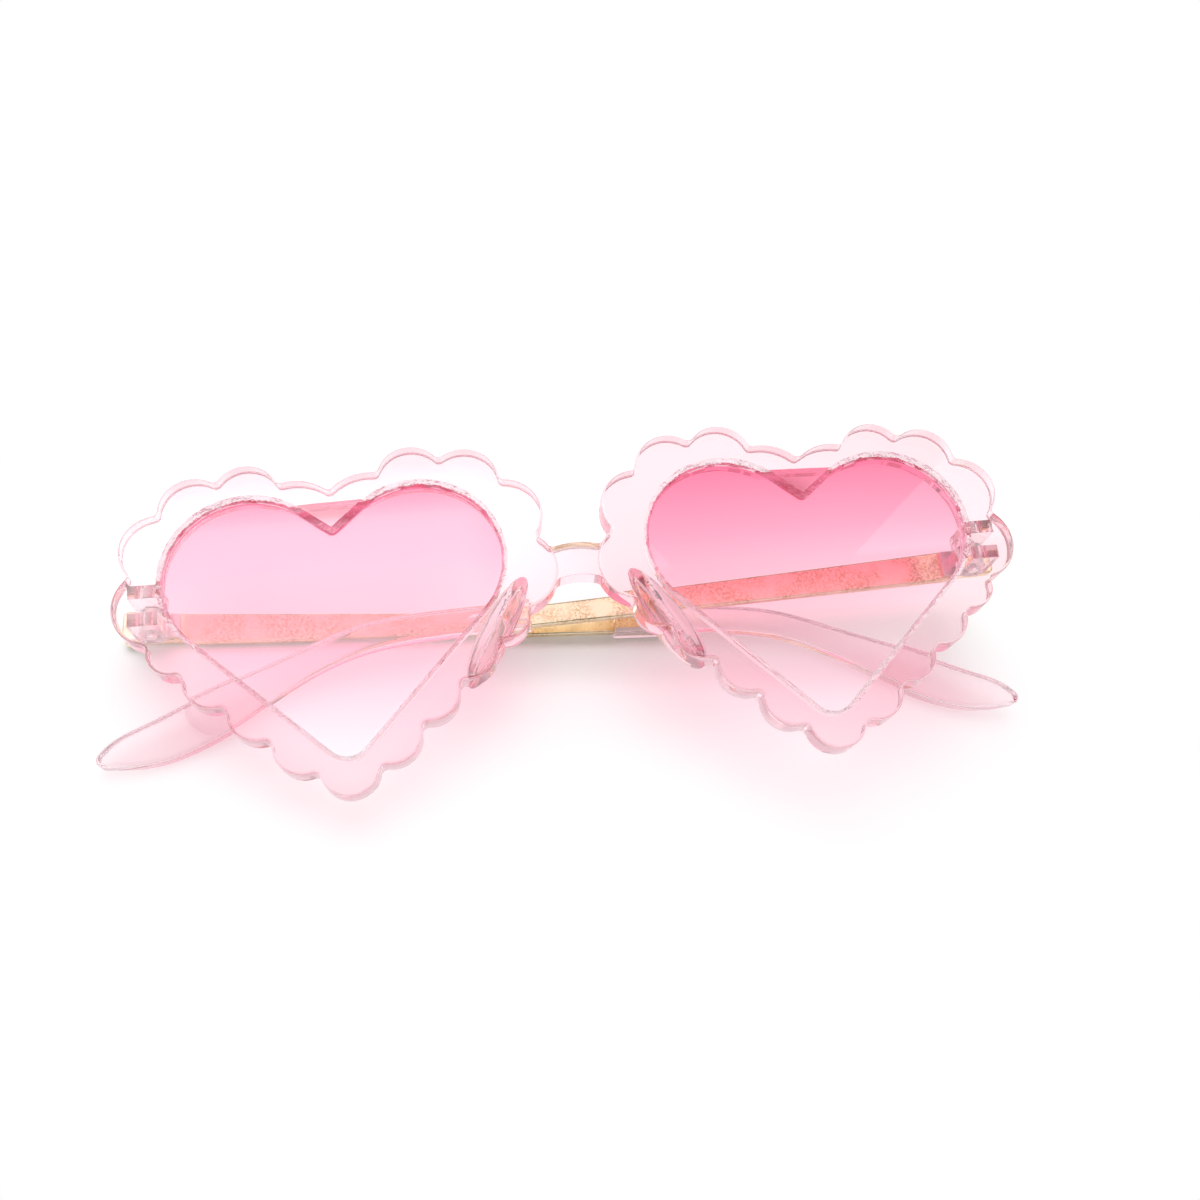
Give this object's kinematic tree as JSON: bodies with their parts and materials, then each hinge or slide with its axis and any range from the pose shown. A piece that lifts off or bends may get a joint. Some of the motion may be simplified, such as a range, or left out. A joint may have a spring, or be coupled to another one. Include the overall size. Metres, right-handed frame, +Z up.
{
  "type": "heart shaped sunglasses",
  "caption": "Folded sunglasses with scalloped heart shaped clear rims, tinted lenses, flat metal temples on screw hinges and clear ear tips; worn to shade the eyes.",
  "frame": {"origin": "table level, under the middle of the box of the folded pair", "axes": "+Z up from the table, +X across the face towards the wearer's left, +Y towards the top of the face; the front lies tilted on the folded temples"},
  "size_m": [0.1358, 0.0498, 0.0305],
  "materials": {
    "clear_plastic": "clear pale pink, polished",
    "tinted_lens": "pink gradient tint, darker at the top, polished",
    "gold_metal": "polished gold tone",
    "hinge_steel": "plain steel"
  },
  "bodies": {
    "front": {"front_frame": "clear_plastic", "left_lens": "tinted_lens", "right_lens": "tinted_lens", "left_hinge_screw": "hinge_steel", "right_hinge_screw": "hinge_steel"},
    "left_temple": {"left_temple_arm": "gold_metal", "left_hinge_eyelet": "hinge_steel", "left_temple_tip": "clear_plastic"},
    "right_temple": {"right_temple_arm": "gold_metal", "right_hinge_eyelet": "hinge_steel", "right_temple_tip": "clear_plastic"}
  },
  "joints": [
    {"name": "left_hinge", "type": "hinge", "parent": "front", "child": "left_temple", "pos_m": [0.06049, 0.00679, 0.01668], "axis": [0.0283, -0.9533, -0.3008], "range_deg": [0, 96]},
    {"name": "right_hinge", "type": "hinge", "parent": "front", "child": "right_temple", "pos_m": [-0.06177, 0.00679, 0.00518], "axis": [-0.0283, 0.9533, 0.3008], "range_deg": [0, 90.7]}
  ]
}
